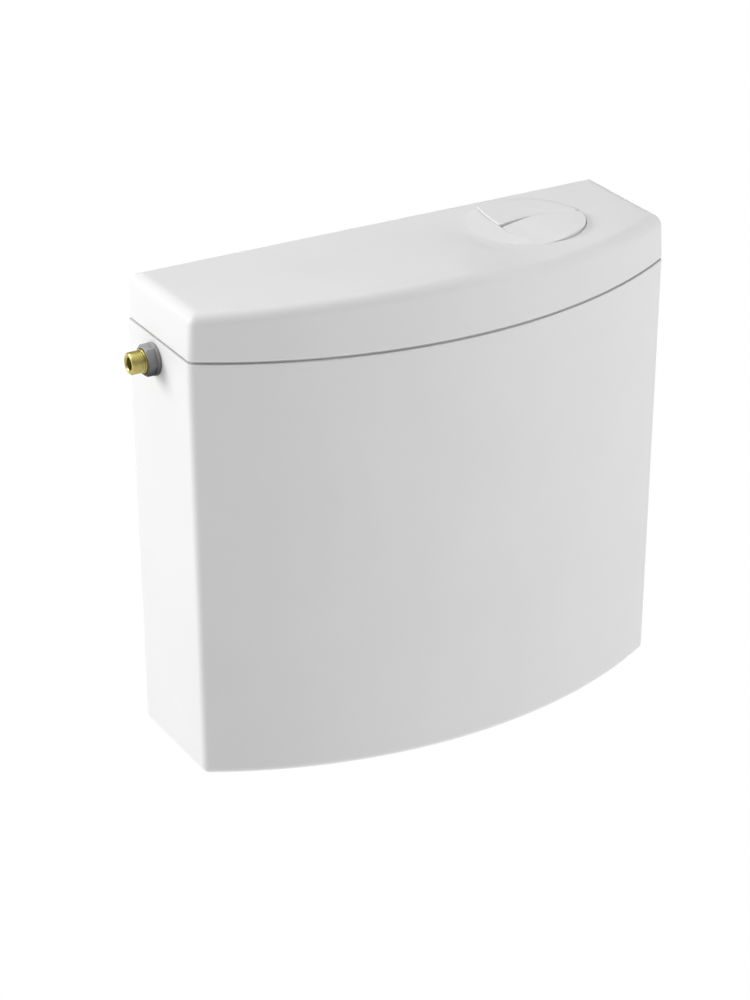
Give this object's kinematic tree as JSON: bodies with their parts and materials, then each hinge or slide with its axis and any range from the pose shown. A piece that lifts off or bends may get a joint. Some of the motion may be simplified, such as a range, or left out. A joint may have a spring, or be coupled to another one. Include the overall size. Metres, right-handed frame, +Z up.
{
  "type": "toilet cistern",
  "caption": "Wall-hung white plastic toilet cistern with bowed front, lift-off lid, dual-flush button pair, side brass inlet, float fill valve and bottom flush outlet.",
  "frame": {"origin": "midway between the two wall-screw holes, on the wall plane", "axes": "+Z up, +Y into the wall (the front faces -Y), +X to the right seen from the front"},
  "size_m": [0.4239, 0.155, 0.4059],
  "materials": {
    "white_gloss": "gloss moulded",
    "liner_foam": "moulded bead foam",
    "grey_plastic": "satin moulded",
    "natural_plastic": "natural acetal",
    "blue_plastic": "satin moulded",
    "brass": "turned",
    "rubber": "moulded",
    "steel": "drawn"
  },
  "bodies": {
    "tank": {"tank_body": "white_gloss", "insulation_liner": "liner_foam", "actuator_bridge": "natural_plastic", "rocker_axle": "steel", "axle_clip": "steel", "valve_cage": "blue_plastic", "valve_seat": "natural_plastic", "outlet_gasket": "rubber", "outlet_washer": "grey_plastic", "outlet_back_nut": "grey_plastic", "flush_pipe_seal": "rubber", "flush_pipe_nut": "grey_plastic", "inlet_shank": "brass", "inlet_nut": "grey_plastic", "inlet_gasket": "rubber", "inlet_strainer": "white_gloss", "fill_valve_body": "white_gloss", "fill_diaphragm": "rubber", "fill_valve_cap": "grey_plastic", "lever_pin": "steel", "fill_drop_tube": "grey_plastic", "blanking_plug": "white_gloss", "plug_seal": "rubber", "plug_nut": "grey_plastic"},
    "lid": {"lid": "white_gloss", "button_frame": "white_gloss", "full_button_spring": "steel", "part_button_spring": "steel"},
    "full_button": {"full_flush_button": "white_gloss", "full_push_pin": "natural_plastic"},
    "part_button": {"part_flush_button": "white_gloss", "part_push_pin": "natural_plastic"},
    "full_rocker": {"full_flush_rocker": "blue_plastic"},
    "part_rocker": {"part_flush_rocker": "grey_plastic"},
    "flush_bell": {"overflow_pipe": "natural_plastic", "seat_seal": "rubber", "lift_collar": "natural_plastic", "full_lift_rod": "blue_plastic"},
    "part_lift": {"part_lift_rod": "grey_plastic", "part_flush_float": "liner_foam"},
    "float_arm": {"float_lever": "white_gloss", "float_adjuster": "natural_plastic", "adjuster_nut": "grey_plastic", "fill_float": "liner_foam"},
    "shutoff": {"shutoff_pin": "natural_plastic"}
  },
  "joints": [
    {"name": "lid_lift", "type": "slide", "parent": "tank", "child": "lid", "axis": [0, 0, 1], "range_m": [0, 0.16]},
    {"name": "full_button_press", "type": "slide", "parent": "lid", "child": "full_button", "axis": [0, 0, -1], "range_m": [0, 0.01], "stiffness_N_per_m": 300, "springref_m": -0.01, "deforming": ["full_button_spring"]},
    {"name": "part_button_press", "type": "slide", "parent": "lid", "child": "part_button", "axis": [0, 0, -1], "range_m": [0, 0.01], "stiffness_N_per_m": 300, "springref_m": -0.01, "deforming": ["part_button_spring"]},
    {"name": "full_rocker_turn", "type": "hinge", "parent": "tank", "child": "full_rocker", "pos_m": [0.058, -0.084, 0.032], "axis": [0, 1, 0], "range_deg": [0, 13.5]},
    {"name": "part_rocker_turn", "type": "hinge", "parent": "tank", "child": "part_rocker", "pos_m": [0.058, -0.04, 0.032], "axis": [0, 1, 0], "range_deg": [0, 13.5]},
    {"name": "bell_lift", "type": "slide", "parent": "tank", "child": "flush_bell", "axis": [0, 0, 1], "range_m": [0, 0.0143]},
    {"name": "part_float_lift", "type": "slide", "parent": "tank", "child": "part_lift", "axis": [0, 0, 1], "range_m": [0, 0.0143]},
    {"name": "float_swing", "type": "hinge", "parent": "tank", "child": "float_arm", "pos_m": [-0.13791, -0.042, 0.02597], "axis": [0, -1, 0], "range_deg": [0, 15]},
    {"name": "shutoff_slide", "type": "slide", "parent": "tank", "child": "shutoff", "axis": [-1, 0, 0], "range_m": [0, 0.00246]}
  ],
  "couplings": [
    {"joint": "full_rocker_turn", "follows": "full_button_press", "rad_per_m": 23.529},
    {"joint": "bell_lift", "follows": "full_button_press", "ratio": 1.42},
    {"joint": "part_rocker_turn", "follows": "part_button_press", "rad_per_m": 23.529},
    {"joint": "part_float_lift", "follows": "part_button_press", "ratio": 1.42},
    {"joint": "shutoff_slide", "follows": "float_swing", "m_per_rad": 0.009333}
  ]
}
